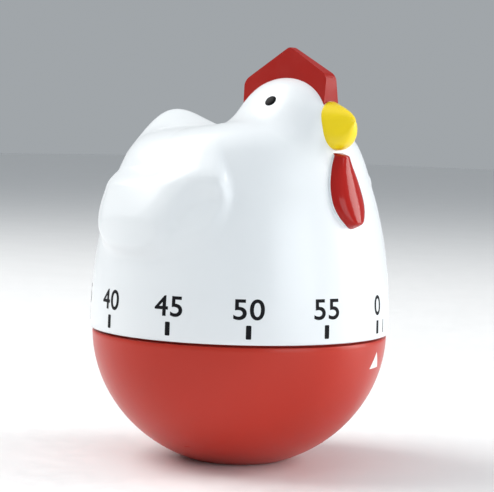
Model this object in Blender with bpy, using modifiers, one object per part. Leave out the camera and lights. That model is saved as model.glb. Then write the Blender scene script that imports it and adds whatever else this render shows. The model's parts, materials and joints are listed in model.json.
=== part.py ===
"""Hen-shaped 60 minute kitchen timer: a clockwork movement in a round bowl,
under a hen-shaped shell that is turned by hand and carries the dial.

Frame: origin on the turning axis at the foot of the bowl, +Z up, the hen
faces -Y. Lengths are written in millimetres and turned to metres by MM.
"""
import bpy
import bmesh
import math
import numpy as np
from mathutils import Vector, Matrix

MM = 0.001

# ---------------------------------------------------------------- dimensions
R = 30.0                 # radius of the hen shell at its rim
SEAM = 26.1              # height of the shell's rim above the foot
WALL = 1.6               # wall of the bowl
SKIN = 1.9               # wall of the hen shell along its radius
GAP = 0.3                # gap between neighbouring pieces

EGG_H = 1.78             # height of the egg the hen grows from, in R
EGG_P = 2.2              # exponent of the egg's profile

LIP_TOP = 27.2           # lip of the bowl that the shell turns around
PLATE_R = 20.5
BOTTOM_Z = 10.0          # underside of the bottom plate
TOP_Z = 20.0             # underside of the top plate
PLATE_T = 1.0
PIVOT_R = 0.6

STOP_AZ = 180.0
STOP_R = 18.0
STOP_HALF = 4.0          # half of the angle the stop pins take up
PIN_R = 0.5

MAIN_M = 0.56            # gear modules
SECOND_M = 0.40
THIRD_M = 0.34
WHEEL_T = 36             # teeth of every wheel
PINION_T = 6             # leaves of every pinion


def polar(r, deg):
    return (r * math.cos(math.radians(deg)), r * math.sin(math.radians(deg)))


def step(p, dist, deg):
    q = polar(dist, deg)
    return (p[0] + q[0], p[1] + q[1])


# arbors of the going train, each one centre distance from the one before it
A_MAIN = (0.0, 0.0)
A_SECOND = step(A_MAIN, MAIN_M * (WHEEL_T + PINION_T) / 2, 0.0)
A_THIRD = step(A_SECOND, SECOND_M * (WHEEL_T + PINION_T) / 2, 93.0)
A_ESCAPE = step(A_THIRD, THIRD_M * (WHEEL_T + PINION_T) / 2, 150.0)
BALANCE_AZ = 165.0
A_BALANCE = step(A_ESCAPE, 6.6, BALANCE_AZ)
A_HAMMER = polar(16.0, -38.0)
A_LEVER = polar(13.0, -85.0)
HAMMER_HEAD = polar(12.7, -0.5)
LEVER_NOSE = polar(7.4, -125.0)
CAM_R = 6.5

PILLAR_R = 18.6
PILLAR_AZ = (135.0, 230.0, -28.0)
SCREW_R = 16.0
SCREW_AZ = (75.0, 190.0, 290.0)

# ---------------------------------------------------------------- scene set-up
for old in list(bpy.data.objects):
    bpy.data.objects.remove(old, do_unlink=True)


def collection(name):
    col = bpy.data.collections.new(name)
    bpy.context.scene.collection.children.link(col)
    return col


PARTS = collection("hen_timer")
CUTTERS = collection("cutters")
CUTTERS.hide_render = True


def material(name, color, rough, metal=0.0):
    mat = bpy.data.materials.new(name)
    mat.use_nodes = True
    bsdf = mat.node_tree.nodes["Principled BSDF"]
    bsdf.inputs["Base Color"].default_value = (*color, 1.0)
    bsdf.inputs["Roughness"].default_value = rough
    bsdf.inputs["Metallic"].default_value = metal
    mat.diffuse_color = (*color, 1.0)
    return mat


WHITE = (0.86, 0.87, 0.87)
RED = (0.56, 0.045, 0.035)
COMB_RED = (0.44, 0.022, 0.016)
YELLOW = (0.87, 0.66, 0.02)
BLACK = (0.01, 0.01, 0.01)
BRASS = (0.72, 0.50, 0.20)
STEEL = (0.55, 0.56, 0.58)


def place(ob, cutter=False):
    for col in list(ob.users_collection):
        col.objects.unlink(ob)
    if cutter:
        CUTTERS.objects.link(ob)
        ob.hide_render = True
        ob.display_type = "WIRE"
    else:
        PARTS.objects.link(ob)
    return ob


def new_object(name, mesh, at=(0.0, 0.0, 0.0), cutter=False):
    ob = bpy.data.objects.new(name, mesh)
    ob.location = (at[0] * MM, at[1] * MM, at[2] * MM)
    return place(ob, cutter)


# ---------------------------------------------------------------- shape tools
def turned(name, profile, at=(0.0, 0.0), steps=24, cutter=False, closed=False):
    """A turned piece: (radius, height) points, top to bottom down the outer
    side, swept about Z by a Screw modifier. A closed profile is a ring."""
    verts = [(r * MM, 0.0, z * MM) for r, z in profile]
    edges = [(i, i + 1) for i in range(len(verts) - 1)]
    if closed:
        edges.append((len(verts) - 1, 0))
    mesh = bpy.data.meshes.new(name)
    mesh.from_pydata(verts, edges, [])
    ob = new_object(name, mesh, (at[0], at[1], 0.0), cutter)
    screw = ob.modifiers.new("turn", "SCREW")
    screw.axis = "Z"
    screw.steps = steps
    screw.render_steps = steps
    screw.use_merge_vertices = True
    screw.merge_threshold = 0.00001
    screw.use_smooth_shade = False
    return ob


def rod(name, radius, z0, z1, at=(0.0, 0.0), steps=16, cutter=False):
    return turned(name, [(0.0, z1), (radius, z1), (radius, z0), (0.0, z0)],
                  at, steps, cutter)


def circle(r, n, at=(0.0, 0.0)):
    return [(at[0] + r * math.cos(2 * math.pi * i / n),
             at[1] + r * math.sin(2 * math.pi * i / n)) for i in range(n)]


def flat(name, outline, holes, z0, z1, at=(0.0, 0.0), cutter=False):
    """A stamped piece: a filled 2D curve of an outline and its holes,
    extruded from z0 to z1 and made a welded mesh."""
    curve = bpy.data.curves.new(name, "CURVE")
    curve.dimensions = "2D"
    curve.fill_mode = "BOTH"
    curve.extrude = (z1 - z0) / 2 * MM
    for loop in [outline] + list(holes):
        spline = curve.splines.new("POLY")
        spline.points.add(len(loop) - 1)
        for i, p in enumerate(loop):
            spline.points[i].co = (p[0] * MM, p[1] * MM, 0.0, 1.0)
        spline.use_cyclic_u = True
    guide = bpy.data.objects.new(name + "_curve", curve)
    bpy.context.scene.collection.objects.link(guide)
    bpy.context.view_layer.update()
    deps = bpy.context.evaluated_depsgraph_get()
    mesh = bpy.data.meshes.new_from_object(guide.evaluated_get(deps))
    bpy.data.objects.remove(guide, do_unlink=True)
    bm = bmesh.new()
    bm.from_mesh(mesh)
    bmesh.ops.remove_doubles(bm, verts=bm.verts, dist=0.000002)
    bmesh.ops.recalc_face_normals(bm, faces=bm.faces)
    bm.to_mesh(mesh)
    bm.free()
    mesh.name = name
    return new_object(name, mesh, (at[0], at[1], (z0 + z1) / 2), cutter)


def boolean(ob, tool, kind):
    mod = ob.modifiers.new(kind.lower(), "BOOLEAN")
    mod.operation = kind
    mod.solver = "EXACT"
    mod.object = tool
    return mod


def cut(ob, tool):
    return boolean(ob, tool, "DIFFERENCE")


def join(ob, tool):
    return boolean(ob, tool, "UNION")


def bar_outline(p, q, half, n=6):
    """A bar with round ends from p to q."""
    a = math.atan2(q[1] - p[1], q[0] - p[0])
    out = []
    for i in range(n + 1):
        t = a - math.pi / 2 + math.pi * i / n
        out.append((q[0] + half * math.cos(t), q[1] + half * math.sin(t)))
    for i in range(n + 1):
        t = a + math.pi / 2 + math.pi * i / n
        out.append((p[0] + half * math.cos(t), p[1] + half * math.sin(t)))
    return out


def finish(ob, mat, smooth=True):
    ob.data.materials.clear()
    ob.data.materials.append(mat)
    if smooth and ob.data.polygons:
        ob.data.shade_smooth()
        ob.data.set_sharp_from_angle(angle=math.radians(35))
    return ob


# ---------------------------------------------------------------- the hen's form
def soft_min(a, b, k):
    h = np.clip(0.5 + 0.5 * (b - a) / k, 0.0, 1.0)
    return b * (1 - h) + a * h - k * h * (1 - h)


def soft_max(a, b, k):
    return -soft_min(-a, -b, k)


def ball(d, l, z, centre, radii, tilt):
    """Signed measure of an ellipsoid leaning by tilt degrees fore and aft."""
    a = math.radians(tilt)
    u = (d - centre[0]) * math.cos(a) + (z - centre[1]) * math.sin(a)
    w = -(d - centre[0]) * math.sin(a) + (z - centre[1]) * math.cos(a)
    q = np.sqrt((u / radii[0]) ** 2 + (l / radii[1]) ** 2 + (w / radii[2]) ** 2)
    return (q - 1) * min(radii)


def hen_field(d, l, z):
    """Negative inside the hen. d runs forward, l to the hen's right, z up
    from the seam, all in R. An egg is cut off along the back, and the tail,
    the neck and the head are blended onto it."""
    egg = np.sqrt(d * d + l * l + (np.clip(z, 0, None) / EGG_H) ** EGG_P) - 1
    back = (z - 1.345 - 0.115 * np.clip(d + 0.05, 0, None)) * 0.85
    f = soft_max(egg, back, 0.190)
    f = soft_min(f, ball(d, l, z, (-0.518, 1.030), (0.193, 0.309, 0.440), 16.3), 0.154)
    f = soft_min(f, ball(d, l, z, (0.352, 1.077), (0.375, 0.504, 0.328), 10.8), 0.148)
    f = soft_min(f, ball(d, l, z, (0.393, 1.413), (0.365, 0.242, 0.267), 0.0), 0.176)
    return f


def smooth(t):
    t = np.clip(t, 0.0, 1.0)
    return t * t * (3 - 2 * t)


WING_MID = 93.0          # azimuth of the wing's middle, degrees from the hen's front
WING_FORE, WING_REAR = 0.655, 0.69       # reach of its outline to the front and rear
WING_TOP, WING_DEPTH = 0.97, 0.515       # height of its middle line, reach below it
WING_PAD, WING_CREST = 0.030, 0.044      # relief of the pad and of the crest on it


def wing_height(az, z):
    """Relief of the folded wing in R, az in degrees from the hen's front: a
    pad with a rounded border, and on it a crest whose ridge runs down and
    back, with a flatter face below it."""
    u = np.radians(np.abs(az) - WING_MID) * 0.93 + 0.02
    side = np.where(u < 0, WING_FORE, WING_REAR)
    across, down = np.abs(u) + 1e-6, np.maximum(WING_TOP - z, 0.0)
    g = ((across / side) ** 2.5 + (down / WING_DEPTH) ** 2.5) ** (1 / 2.5)
    inward = np.hypot(across, down) * (1 / g - 1)
    fore = smooth((u + 0.63) / 0.15) * (1 - smooth((u + 0.40) / 0.45))
    roof = smooth((1.08 + 0.20 * fore - z) / (0.15 + 0.17 * fore))
    depth = np.minimum((down / WING_DEPTH) ** 2, 1.0)
    border = 0.10 + 0.20 * depth
    low = 1 - smooth((z - 0.88) / 0.12)
    pad = WING_PAD * smooth(inward / border) * roof
    pad -= 0.007 * np.exp(-((inward - 0.16) / 0.05) ** 2) * low * (1 - depth)
    ridge = 0.70 + 0.305 * (1 - smooth((u + 0.42) / 0.44))
    fall = (ridge - z) * (1 - 0.28 * np.exp(-((u + 0.20) / 0.13) ** 2))
    width = 0.14 + 0.18 * smooth((u + 0.50) / 0.50)
    crest = (1 - smooth(fall / width)) * np.exp(-np.maximum(-fall - 0.05, 0) / 0.6)
    tall = WING_CREST * (1 - 0.35 * smooth((u - 0.15) / 0.45))
    h = pad + tall * crest * smooth((inward - 0.02) / 0.11) * roof
    girth = np.sqrt(np.clip(1 - (np.clip(z, 0, EGG_H) / EGG_H) ** EGG_P, 0, None))
    return np.minimum(h, np.maximum(0.999 - girth, 0.0))


CORE = 0.55              # height of the centre the form is measured from, in R


def hen_radius(az, el, wing):
    """Distance of the skin from the core along azimuth az, elevation el."""
    dx = np.cos(az) * np.cos(el)
    dy = np.sin(az) * np.cos(el)
    dz = np.sin(el)
    t = np.linspace(0.3, 1.9, 161)
    inside = [hen_field(dx * s, dy * s, CORE + dz * s) < 0 for s in t]
    last = len(t) - 1 - np.argmax(np.array(inside)[::-1], axis=0)
    lo = t[last]
    hi = t[np.minimum(last + 1, len(t) - 1)]
    for _ in range(26):
        mid = (lo + hi) / 2
        neg = hen_field(dx * mid, dy * mid, CORE + dz * mid) < 0
        lo = np.where(neg, mid, lo)
        hi = np.where(neg, hi, mid)
    if wing:
        deg = np.degrees(np.arctan2(dy, dx))
        lo = lo + wing_height(deg, CORE + dz * lo)
    return lo


def hen_point(d, l, z):
    """From the hen's own directions in R to model millimetres."""
    return (-l * R, -d * R, SEAM + z * R)


AROUND = 44
LEVELS = 27
INNER_LEVELS = 9


def ray_ring(el, around, wing, skin):
    az = np.linspace(0, 2 * math.pi, around, endpoint=False)
    e = np.full(around, el)
    t = hen_radius(az, e, wing) - skin / R
    return [hen_point(math.cos(a) * math.cos(el) * s,
                      math.sin(a) * math.cos(el) * s,
                      CORE + math.sin(el) * s) for a, s in zip(az, t)]


def flat_ring(r, z, around):
    out = []
    for i in range(around):
        a = 2 * math.pi * i / around
        out.append((-r * math.sin(a), -r * math.cos(a), z))
    return out


def hen_shell():
    """The skin is lofted ring over ring out of the form's section, up the
    outside, and down the inside to the ledge and the rim."""
    low = math.atan2(-CORE, 1.0)
    outer = [ray_ring(low + (math.pi / 2 - low) * i / LEVELS, AROUND, True, 0.0)
             for i in range(1, LEVELS)]
    start = math.radians(-19.0)
    inner = [ray_ring(start + (math.pi / 2 - start) * i / INNER_LEVELS, AROUND,
                      False, SKIN) for i in range(INNER_LEVELS)]
    rings = [flat_ring(28.4, SEAM, AROUND), flat_ring(R, SEAM, AROUND)] + outer
    inner_side = [flat_ring(28.3, 29.4, AROUND), flat_ring(26.2, 29.4, AROUND),
                  flat_ring(26.2, 30.8, AROUND)] + inner
    bm = bmesh.new()

    def add(ring):
        return [bm.verts.new([c * MM for c in p]) for p in ring]

    def band(a, b):
        for i in range(AROUND):
            j = (i + 1) % AROUND
            bm.faces.new((a[i], a[j], b[j], b[i]))

    def cap(ring, apex):
        top = bm.verts.new([c * MM for c in apex])
        for i in range(AROUND):
            bm.faces.new((ring[i], ring[(i + 1) % AROUND], top))

    made = [add(r) for r in rings]
    for a, b in zip(made, made[1:]):
        band(a, b)
    tip = float(hen_radius(np.array([0.0]), np.array([math.pi / 2]), False)[0])
    cap(made[-1], hen_point(0, 0, CORE + tip))
    inside = [made[0]] + [add(r) for r in inner_side]
    for a, b in zip(inside, inside[1:]):
        band(a, b)
    cap(inside[-1], hen_point(0, 0, CORE + tip - SKIN / R))
    bmesh.ops.triangulate(bm, faces=bm.faces)
    bmesh.ops.recalc_face_normals(bm, faces=bm.faces)
    mesh = bpy.data.meshes.new("hen_shell")
    bm.to_mesh(mesh)
    bm.free()
    return new_object("hen_shell", mesh)


def skin_top(d, l):
    """Height of the skin over the point (d, l), found from above, in R."""
    lo, hi = 1.2, 1.95
    for _ in range(30):
        mid = (lo + hi) / 2
        if float(hen_field(np.float64(d), np.float64(l), np.float64(mid))) < 0:
            lo = mid
        else:
            hi = mid
    return lo


def skin_front(l, z):
    """How far forward the skin stands at (l, z), in R."""
    lo, hi = 0.3, 1.2
    for _ in range(30):
        mid = (lo + hi) / 2
        if float(hen_field(np.float64(mid), np.float64(l), np.float64(z))) < 0:
            lo = mid
        else:
            hi = mid
    return lo


def skin_normal(d, l, z):
    e = 1e-3
    g = [hen_field(d + e, l, z) - hen_field(d - e, l, z),
         hen_field(d, l + e, z) - hen_field(d, l - e, z),
         hen_field(d, l, z + e) - hen_field(d, l, z - e)]
    v = Vector((-float(g[1]), -float(g[0]), float(g[2])))
    return v.normalized()


def lofted(name, grid):
    """A solid lofted through rings of points in millimetres, with the first
    and the last ring closed by a fan about their middles."""
    bm = bmesh.new()
    rings = [[bm.verts.new([c * MM for c in p]) for p in ring] for ring in grid]
    n = len(rings[0])
    for a, b in zip(rings, rings[1:]):
        for i in range(n):
            bm.faces.new((a[i], a[(i + 1) % n], b[(i + 1) % n], b[i]))
    for ring in (rings[0], rings[-1]):
        mid = sum((v.co for v in ring), Vector()) / n
        centre = bm.verts.new(mid)
        for i in range(n):
            bm.faces.new((ring[i], ring[(i + 1) % n], centre))
    bmesh.ops.triangulate(bm, faces=bm.faces)
    bmesh.ops.recalc_face_normals(bm, faces=bm.faces)
    mesh = bpy.data.meshes.new(name)
    bm.to_mesh(mesh)
    bm.free()
    return new_object(name, mesh)


def peg_matrix(point, normal):
    """Places a piece turned about Z so that its Z leaves the skin."""
    turn = normal.to_track_quat("Z", "Y").to_matrix().to_4x4()
    return Matrix.Translation(Vector([c * MM for c in point])) @ turn


# ---------------------------------------------------------------- comb
COMB_REAR, COMB_FRONT = 0.048, 0.728
COMB_PEAK = 0.39


def comb_top(d):
    """Upper edge of the comb: a low roof with its ridge over the eye."""
    if d < COMB_PEAK:
        return 1.660 + (1.880 - 1.660) * (d - 0.036) / (COMB_PEAK - 0.036)
    return 1.880 + (1.692 - 1.880) * (d - COMB_PEAK) / (0.724 - COMB_PEAK)


def comb_half(z):
    """The comb is tapered: half its thickness at height z."""
    return 0.075 + (0.024 - 0.075) * min(max((z - 1.50) / 0.38, 0.0), 1.0)


def comb():
    stations = 13
    levels = (0.0, 0.30, 0.62, 0.93, 1.0)
    grid = []
    for i in range(stations):
        s = i / (stations - 1)
        s = min(max(s, 0.02 * (i > 0)), 1.0)
        rim = 0.55 if i in (0, stations - 1) else 1.0
        ring = []
        for side in (1, -1):
            order = levels if side == 1 else levels[::-1]
            for h in order:
                base = COMB_REAR + (COMB_FRONT - COMB_REAR) * s
                roof = 0.036 + (0.724 - 0.036) * s
                d = base + (roof - base) * h
                z_low = skin_top(base, comb_half(1.5)) + GAP / R
                z = z_low + (comb_top(roof) - z_low) * h
                half = comb_half(z) * rim * (0.5 if h == 1.0 else 1.0)
                if h == 0.0:
                    z = skin_top(base, half) + GAP / R
                ring.append(hen_point(d, side * half, z))
        base = COMB_REAR + (COMB_FRONT - COMB_REAR) * s
        ring.append(hen_point(base, 0.0, skin_top(base, 0.0) + GAP / R))
        grid.append(ring)
    return lofted("comb", grid)


# ---------------------------------------------------------------- beak
BEAK_SIDES = 16
BEAK_TIP, BEAK_Z = 0.930, 1.405     # how far forward the tip is, and its height
BEAK_RINGS = (0.97, 0.86, 0.70, 0.52, 0.34, 0.17, 0.06)


def signed_power(v, n):
    return math.copysign(abs(v) ** n, v)


def beak_outline(a):
    """Half width and height of the beak's root on the face, at angle a."""
    c, s = math.cos(a), math.sin(a)
    narrow = 1 - 0.28 * max(s, 0) ** 2 - 0.08 * max(-s, 0) ** 2
    return 0.120 * narrow * signed_power(c, 0.72), 1.3705 + 0.1555 * signed_power(s, 0.72)


def beak_root(l, z):
    """The back of the beak lies on the face, and at its top on the comb."""
    return max(skin_front(l, z) + GAP / R, COMB_FRONT + 0.014)


def beak_front(l, z, s, a):
    """How far forward the beak stands: flanks that run to the tip, cut off
    by two roof planes that slope down to it."""
    skin = beak_root(l, z)
    full = float(smooth(-math.sin(a)))
    swell = max(1 - s ** (1.35 + 1.25 * full), 0.0) ** (0.90 - 0.30 * full)
    roof = 0.758 + (1.533 - z - 0.35 * math.sqrt(l * l + 0.0004)) / 0.50
    return max(float(soft_min(skin + (BEAK_TIP - skin) * swell, roof, 0.022)), skin + 0.012)


def beak():
    """A short blunt beak that stands off the face by the gap."""
    angles = [2 * math.pi * i / BEAK_SIDES for i in range(BEAK_SIDES)]
    back, front = [], []
    for s in (0.08, 0.40, 0.75, 1.0):
        ring = []
        for a in angles:
            wide, high = beak_outline(a)
            l, z = wide * s, BEAK_Z + (high - BEAK_Z) * s
            ring.append(hen_point(beak_root(l, z), l, z))
        back.append(ring)
    for s in BEAK_RINGS:
        ring = []
        for a in angles:
            wide, high = beak_outline(a)
            l, z = wide * s, BEAK_Z + (high - BEAK_Z) * s
            ring.append(hen_point(beak_front(l, z, s, a), l, z))
        front.append(ring)
    return lofted("beak", back + front)


# ---------------------------------------------------------------- wattle
WATTLE_TOP, WATTLE_BOTTOM = 1.200, 0.716
WATTLE_HALF = 0.158
WATTLE_THICK = 0.072


def wattle_half(v):
    """Half width of the drop at v, which runs from 0 at its top to 1."""
    if v < 0.62:
        return WATTLE_HALF * (0.32 + 0.68 * math.sin(math.pi / 2 * v / 0.62))
    return WATTLE_HALF * max(1.0 - ((v - 0.62) / 0.38) ** 2, 0.0) ** 0.62


def wattle():
    """A drop-shaped lobe that lies on the breast under the beak."""
    rows = 12
    across = 6
    grid = []
    for i in range(rows):
        v = 0.004 + 0.988 * i / (rows - 1)
        z = WATTLE_TOP + (WATTLE_BOTTOM - WATTLE_TOP) * v
        half = max(wattle_half(v), 0.012)
        swell = math.sin(math.pi * min(max(v, 0.06), 0.97)) ** 0.5
        ring = []
        for j in range(across):
            l = half * (2 * j / (across - 1) - 1)
            d = skin_front(l, z) + GAP / R
            ring.append(hen_point(d, l, z))
        for j in range(across - 1, -1, -1):
            c = 2 * j / (across - 1) - 1
            l = half * c
            rise = WATTLE_THICK * (0.35 + 0.65 * math.sqrt(1 - 0.96 * c * c)) * swell
            d = skin_front(l, z) + GAP / R + rise
            ring.append(hen_point(d, l, z))
        grid.append(ring)
    return lofted("wattle", grid)


# ---------------------------------------------------------------- materials
M_WHITE = material("white_plastic", WHITE, 0.22)
M_RED = material("red_plastic", RED, 0.32)
M_COMB = material("comb_red", COMB_RED, 0.35)
M_WATTLE = material("wattle_red", RED, 0.15)
M_YELLOW = material("beak_yellow", YELLOW, 0.30)
M_BLACK = material("eye_black", BLACK, 0.15)
M_BRASS = material("brass", BRASS, 0.30, 1.0)
M_STEEL = material("steel", STEEL, 0.35, 1.0)
M_CARRIER = material("white_moulding", (0.78, 0.79, 0.78), 0.45)

# ---------------------------------------------------------------- hen shell group
shell = hen_shell()


def pegged(name, ob, spots, radius, depth, proud):
    """Joins round pegs to a piece and sinks the holes for them in the shell."""
    for k, (point, normal) in enumerate(spots):
        peg = rod(name + "_peg_%d" % k, radius, -depth, proud, steps=12, cutter=True)
        peg.matrix_world = peg_matrix(point, normal)
        join(ob, peg)
        hole = rod(name + "_hole_%d" % k, radius + GAP, -4.0, 1.5, steps=12, cutter=True)
        hole.matrix_world = peg_matrix(point, normal)
        cut(shell, hole)


comb_ob = comb()
up = Vector((0, 0, 1))
comb_spots = []
for d in (0.24, 0.50):
    comb_spots.append((hen_point(d, 0.0, skin_top(d, 0.0)), up))
pegged("comb", comb_ob, comb_spots, 1.0, 3.2, 1.5)

beak_ob = beak()
front = Vector((0, -1, 0))
pegged("beak", beak_ob, [(hen_point(skin_front(0, 1.375), 0.0, 1.375), front)],
       1.5, 3.2, 1.5)

wattle_ob = wattle()
wattle_z = 0.92
wattle_n = skin_normal(skin_front(0, wattle_z), 0.0, wattle_z)
pegged("wattle", wattle_ob,
       [(hen_point(skin_front(0, wattle_z), 0.0, wattle_z), wattle_n)],
       1.2, 3.0, 1.0)

EYE_D, EYE_Z = 0.42, 1.52
EYE_PROFILE = [(0.0, 0.72), (0.50, 0.67), (0.92, 0.54), (1.20, GAP), (0.5, GAP),
               (0.5, -2.6), (0.0, -2.6)]
for side, name in ((1, "eye_right"), (-1, "eye_left")):
    lo, hi = 0.0, 0.6
    for _ in range(30):
        mid = (lo + hi) / 2
        if float(hen_field(np.float64(EYE_D), np.float64(mid), np.float64(EYE_Z))) < 0:
            lo = mid
        else:
            hi = mid
    spot = hen_point(EYE_D, side * lo, EYE_Z)
    normal = skin_normal(EYE_D, side * lo, EYE_Z)
    eye = turned(name, EYE_PROFILE, steps=14)
    eye.matrix_world = peg_matrix(spot, normal)
    finish(eye, M_BLACK)
    hole = rod(name + "_hole", 0.5 + GAP, -4.0, 1.5, steps=12, cutter=True)
    hole.matrix_world = peg_matrix(spot, normal)
    cut(shell, hole)

finish(shell, M_WHITE)
finish(comb_ob, M_COMB)
finish(beak_ob, M_YELLOW)
finish(wattle_ob, M_WATTLE)

# ---------------------------------------------------------------- bowl
BOWL_A, BOWL_H = 0.985 * R, 0.92 * R     # half axes of the bowl's outside
BOWL_RIM = 25.6
CAVITY_A, CAVITY_H = BOWL_A - WALL, BOWL_H - WALL
FLOOR_Z = 2.0


def oval(a, h, z):
    return a * math.sqrt(max(1 - ((SEAM - z) / h) ** 2, 0.0))


bowl_profile = [(0.0, LIP_TOP), (28.0, LIP_TOP), (28.0, BOWL_RIM)]
for i in range(10):
    z = BOWL_RIM * (1 - i / 9) ** 1.35
    bowl_profile.append((oval(BOWL_A, BOWL_H, z), z))
bowl_profile.append((0.0, 0.0))
bowl = turned("base_bowl", bowl_profile, steps=44)

cavity_profile = [(0.0, LIP_TOP + 1.0), (26.9, LIP_TOP + 1.0), (26.9, 24.0)]
for i in range(1, 7):
    z = FLOOR_Z + (24.0 - FLOOR_Z) * (1 - i / 6) ** 1.5
    cavity_profile.append((oval(CAVITY_A, CAVITY_H, z), z))
cavity_profile.append((0.0, FLOOR_Z))
cavity = turned("cavity", cavity_profile, steps=44, cutter=True)
post = rod("post", 2.4, -1.0, 7.1, steps=12, cutter=True)
cut(cavity, post)
for k, az in enumerate(SCREW_AZ):
    boss = rod("boss_%d" % (k + 1), 2.3, -1.0, BOTTOM_Z - GAP, polar(SCREW_R, az), 12, True)
    cut(cavity, boss)
cut(bowl, cavity)
cut(bowl, rod("post_hole", 1.0, 3.2, 8.0, steps=12, cutter=True))
for k, az in enumerate(SCREW_AZ):
    cut(bowl, rod("boss_hole_%d" % (k + 1), 1.1, 5.8, 11.0, polar(SCREW_R, az), 12, True))
finish(bowl, M_RED)

# ---------------------------------------------------------------- bell
bell_profile = []
for i in range(6):
    r = 1.0 + 10.0 * math.sin(math.pi / 2 * i / 5)
    bell_profile.append((r, 4.6 + 3.4 * math.sqrt(max(1 - (r / 11.0) ** 2, 0))))
for i in range(5, -1, -1):
    r = 1.0 + 9.4 * math.sin(math.pi / 2 * i / 5)
    bell_profile.append((r, 4.6 + 2.8 * math.sqrt(max(1 - (r / 10.4) ** 2, 0))))
finish(turned("bell", bell_profile, steps=26, closed=True), M_STEEL)
finish(turned("bell_screw", [(0, 9.2), (1.6, 9.2), (2.0, 8.9), (2.0, 8.3),
                             (0.7, 8.3), (0.7, 3.6), (0, 3.6)], steps=14), M_STEEL)

# ---------------------------------------------------------------- frame of the movement
top_holes = [(A_SECOND, PIVOT_R), (A_THIRD, PIVOT_R), (A_ESCAPE, PIVOT_R),
             (A_BALANCE, PIVOT_R), (A_HAMMER, PIVOT_R)]
bottom_holes = list(top_holes) + [(A_MAIN, 0.8)]
bottom_holes += [(polar(SCREW_R, a), 0.8) for a in SCREW_AZ]
bottom_holes += [(polar(PILLAR_R, a), 0.8) for a in PILLAR_AZ]
SPRING_AZ = 200.0
SPRING_POST = polar(8.3, SPRING_AZ)
bottom_holes.append((SPRING_POST, 0.6))
upper_holes = list(top_holes) + [(A_MAIN, 1.8), (A_LEVER, 0.6)]
upper_holes += [(polar(PILLAR_R, a), 0.65) for a in PILLAR_AZ]
upper_holes.append((polar(STOP_R, STOP_AZ), 0.6))

for name, z0, holes in (("bottom_plate", BOTTOM_Z, bottom_holes),
                        ("top_plate", TOP_Z, upper_holes)):
    rings = [circle(r + GAP, 9, at) for at, r in holes]
    plate = flat(name, circle(PLATE_R, 36), rings, z0, z0 + PLATE_T)
    finish(plate, M_STEEL)

for k, az in enumerate(PILLAR_AZ):
    at = polar(PILLAR_R, az)
    z0, z1 = BOTTOM_Z, TOP_Z
    pillar = turned("pillar_%d" % (k + 1),
                    [(0, z1 - 5), (0.95, z1 - 5), (0.95, z1 - GAP), (1.5, z1 - GAP),
                     (1.5, z0 + PLATE_T + GAP), (0.8, z0 + PLATE_T + GAP),
                     (0.8, z0), (0, z0)], at, 10)
    finish(pillar, M_BRASS)
    head = TOP_Z + PLATE_T + GAP
    screw = turned("pillar_screw_%d" % (k + 1),
                   [(0, head + 1.0), (1.3, head + 1.0), (1.6, head + 0.7),
                    (1.6, head), (0.65, head), (0.65, z1 - 4.4), (0, z1 - 4.4)], at, 10)
    finish(screw, M_STEEL)

for k, az in enumerate(SCREW_AZ):
    at = polar(SCREW_R, az)
    head = BOTTOM_Z + PLATE_T + GAP
    screw = turned("movement_screw_%d" % (k + 1),
                   [(0, head + 0.9), (1.5, head + 0.9), (1.8, head + 0.6),
                    (1.8, head), (0.8, head), (0.8, 6.4), (0, 6.4)], at, 10)
    finish(screw, M_STEEL)

# ---------------------------------------------------------------- mainspring
COILS = 4.5
SPRING_IN, SPRING_OUT = 2.4, 6.9
RIBBON = 0.17


def spiral(side):
    n = 64
    out = []
    for i in range(n + 1):
        a = 2 * math.pi * COILS * i / n
        r = SPRING_IN + (SPRING_OUT - SPRING_IN) * i / n + side * RIBBON
        p = polar(r, math.degrees(a) + SPRING_AZ - 360 * COILS)
        out.append(p)
    return out


spring = flat("mainspring", spiral(1) + spiral(-1)[::-1], [], 11.6, 14.4)
finish(spring, M_STEEL)
finish(turned("spring_post", [(0, 14.4), (0.9, 14.4), (0.9, 11.3), (0.6, 11.3),
                              (0.6, 10.0), (0, 10.0)], SPRING_POST, 12), M_STEEL)

# ---------------------------------------------------------------- gears


def gear_outline(teeth, m, add, ded, phase):
    """Straight-sided teeth: a narrow tip, a wider root, room for backlash."""
    rp = teeth * m / 2
    pitch = 360.0 / teeth
    out = []
    for i in range(teeth):
        a = phase + i * pitch
        for r, h in ((rp - ded * m, -0.25), (rp + add * m, -0.08),
                     (rp + add * m, 0.08), (rp - ded * m, 0.25)):
            out.append(polar(r, a + h * pitch))
    return out


def wheel(name, m, at, z0, z1, hole, phase, mat):
    ob = flat(name, gear_outline(WHEEL_T, m, 0.70, 0.90, phase),
              [circle(hole, 14)], z0, z1, at)
    return finish(ob, mat, False)


def pinion_arbor(name, m, at, z0, z1, phase, low, high, radius=PIVOT_R):
    """An arbor with its pinion cut in one piece with it."""
    ob = flat(name, gear_outline(PINION_T, m, 0.45, 0.85, phase), [], z0, z1, at)
    join(ob, rod(name + "_shaft", radius, low, high, at, 12, True))
    return finish(ob, M_STEEL, False)


def mesh_phase(wheel_at, pinion_at, wheel_phase):
    """Phase of a pinion whose gap faces the wheel's tooth."""
    line = math.degrees(math.atan2(pinion_at[1] - wheel_at[1],
                                   pinion_at[0] - wheel_at[0]))
    pitch = 360.0 / WHEEL_T
    off = (line - wheel_phase) / pitch
    off = (off - round(off)) * pitch
    return line + 180.0 + 180.0 / PINION_T + off * WHEEL_T / PINION_T


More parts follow.
